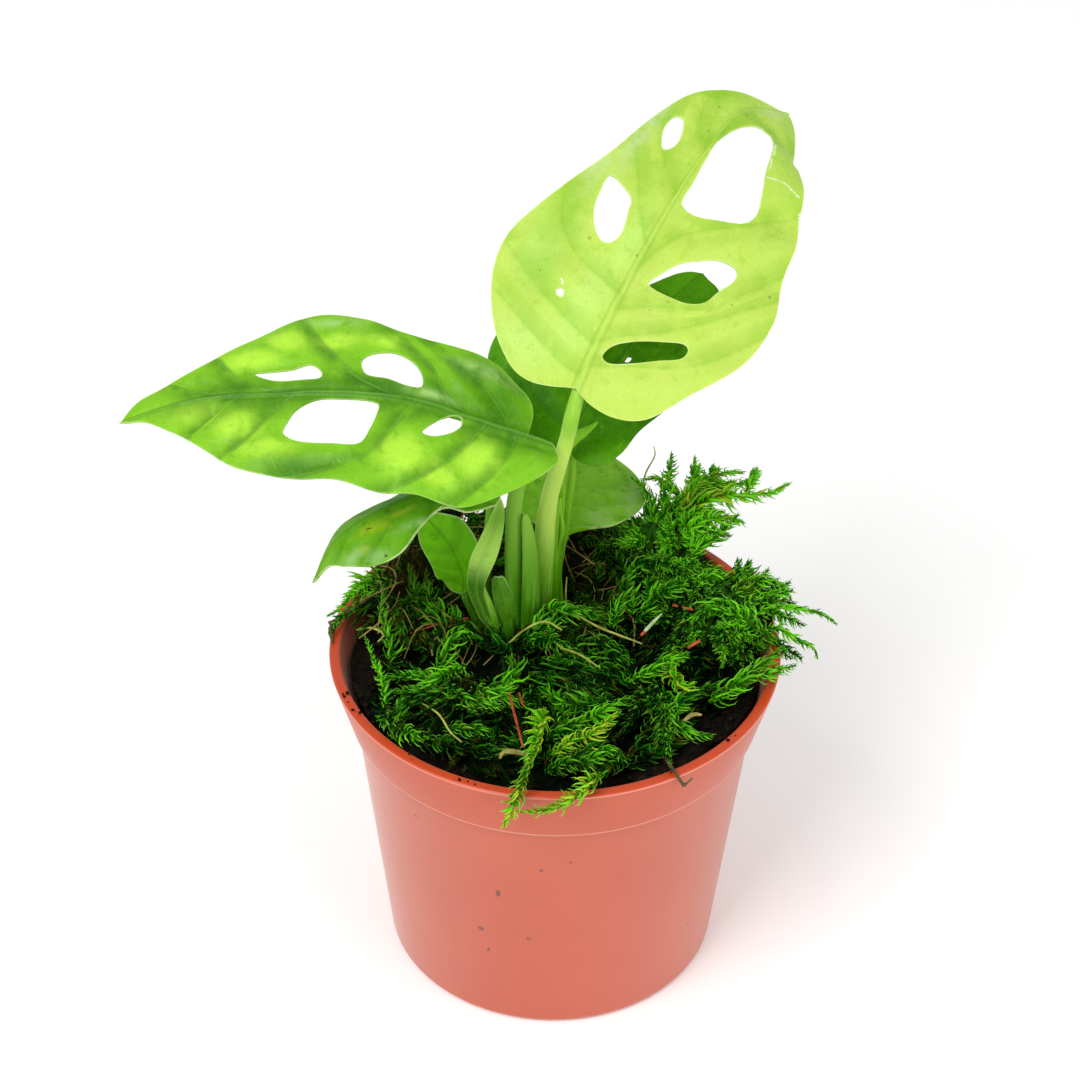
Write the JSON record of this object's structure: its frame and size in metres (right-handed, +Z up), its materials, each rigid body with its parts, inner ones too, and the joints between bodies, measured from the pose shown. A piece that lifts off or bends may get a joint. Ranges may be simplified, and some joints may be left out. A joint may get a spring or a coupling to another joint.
{
  "type": "potted monstera adansonii",
  "caption": "Young split-hole leafy plant growing through moss in a small round tapered nursery pot that stands on its flat base.",
  "frame": {"origin": "centre of the pot's flat underside", "axes": "+Z up through the pot's mouth; the plant's open side faces -Y and its low left leaf points along -X"},
  "size_m": [0.095, 0.0806, 0.1105],
  "materials": {
    "pot": "satin",
    "soil": "matte",
    "moss": "matte",
    "old_moss": "matte",
    "leaf_pale": "satin",
    "leaf_bright": "satin",
    "leaf_dark": "satin",
    "leaf_grey": "satin",
    "leaf_young": "satin",
    "stalk": "satin"
  },
  "bodies": {
    "root": {"pot": "pot", "soil": "soil", "moss": "moss", "old_moss": "old_moss", "leaf_upright": "leaf_pale", "leaf_left": "leaf_bright", "leaf_back": "leaf_dark", "leaf_right": "leaf_grey", "leaf_low": "leaf_young", "leaf_tiny": "leaf_young", "new_leaf": "stalk", "old_stalk": "stalk", "cataphyll": "leaf_grey"}
  },
  "joints": []
}
